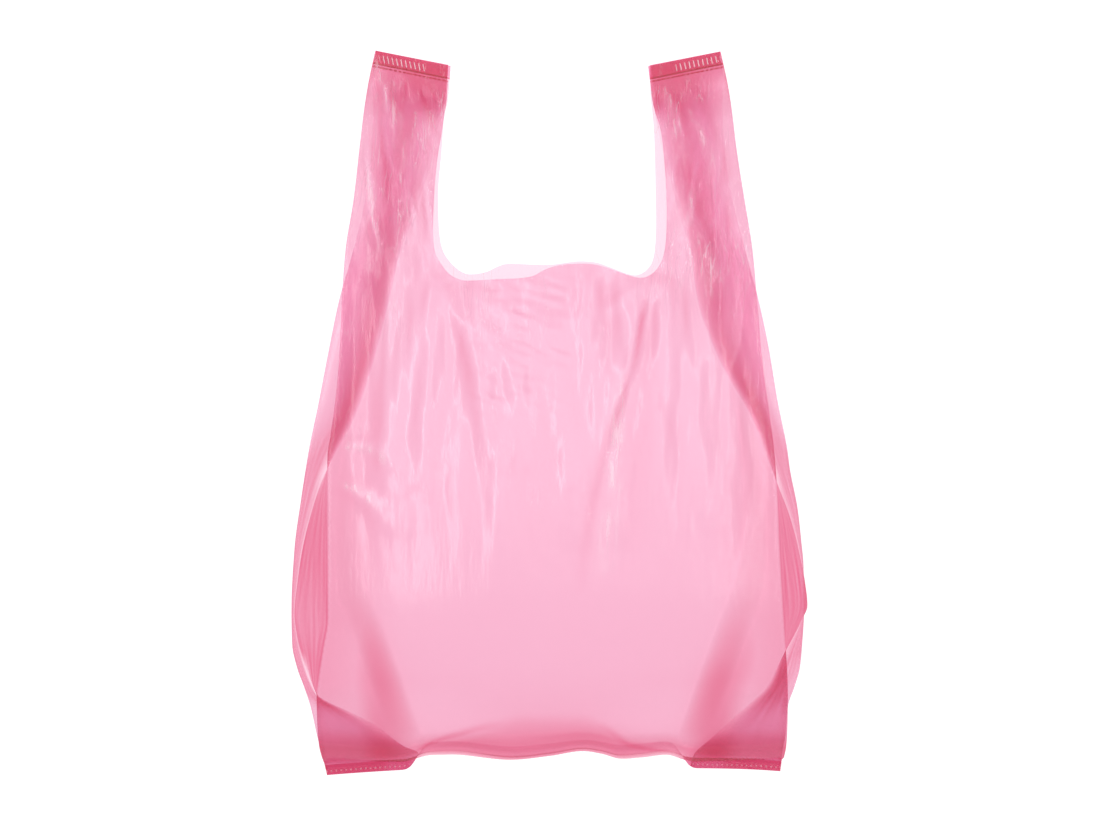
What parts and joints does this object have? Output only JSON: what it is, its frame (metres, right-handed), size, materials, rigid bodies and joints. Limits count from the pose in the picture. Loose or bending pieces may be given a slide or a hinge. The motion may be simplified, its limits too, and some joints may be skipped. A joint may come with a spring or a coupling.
{
  "type": "plastic carrier bag",
  "caption": "Translucent pink vest carrier bag of thin film with gusseted sides, welded base and two loop handles, lying part filled with air.",
  "frame": {"origin": "middle of the bounding box on the surface that the back panel lies on", "axes": "+X across the bag, +Y up the bag towards the handles, +Z out of the front panel"},
  "size_m": [0.348, 0.4904, 0.0914],
  "materials": {
    "film": "satin, translucent, finely crinkled"
  },
  "bodies": {
    "root": {"film_bag": "film"}
  },
  "joints": []
}
